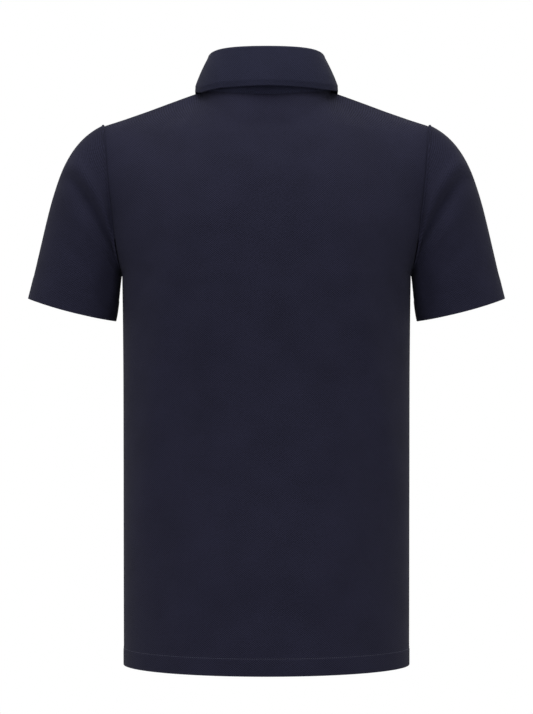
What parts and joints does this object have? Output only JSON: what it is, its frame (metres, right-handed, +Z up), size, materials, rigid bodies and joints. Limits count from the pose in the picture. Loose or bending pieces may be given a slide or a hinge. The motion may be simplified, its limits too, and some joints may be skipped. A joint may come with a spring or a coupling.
{
  "type": "polo shirt",
  "caption": "Short-sleeved polo shirt in dark navy pique, worn shape, hollow, with a turned-down collar and a buttoned placket.",
  "frame": {"origin": "midway between the two points where the shoulder seams meet the neckline, where the wearer's shoulders hold the shirt", "axes": "+Z up, -Y towards the shirt's front, +X towards the wearer's left"},
  "size_m": [0.5896, 0.2516, 0.7548],
  "materials": {
    "body_cloth": "matt cotton pique knit",
    "collar_cloth": "matt cotton pique knit, two layers",
    "button": "satin resin"
  },
  "bodies": {
    "root": {"back_panel": "body_cloth", "front_panel": "body_cloth", "sleeve_left": "body_cloth", "sleeve_right": "body_cloth", "placket_top": "body_cloth", "placket_under": "body_cloth", "collar_stand": "collar_cloth", "collar_leaf": "collar_cloth", "button_1": "button", "button_2": "button", "button_collar": "button"}
  },
  "joints": []
}
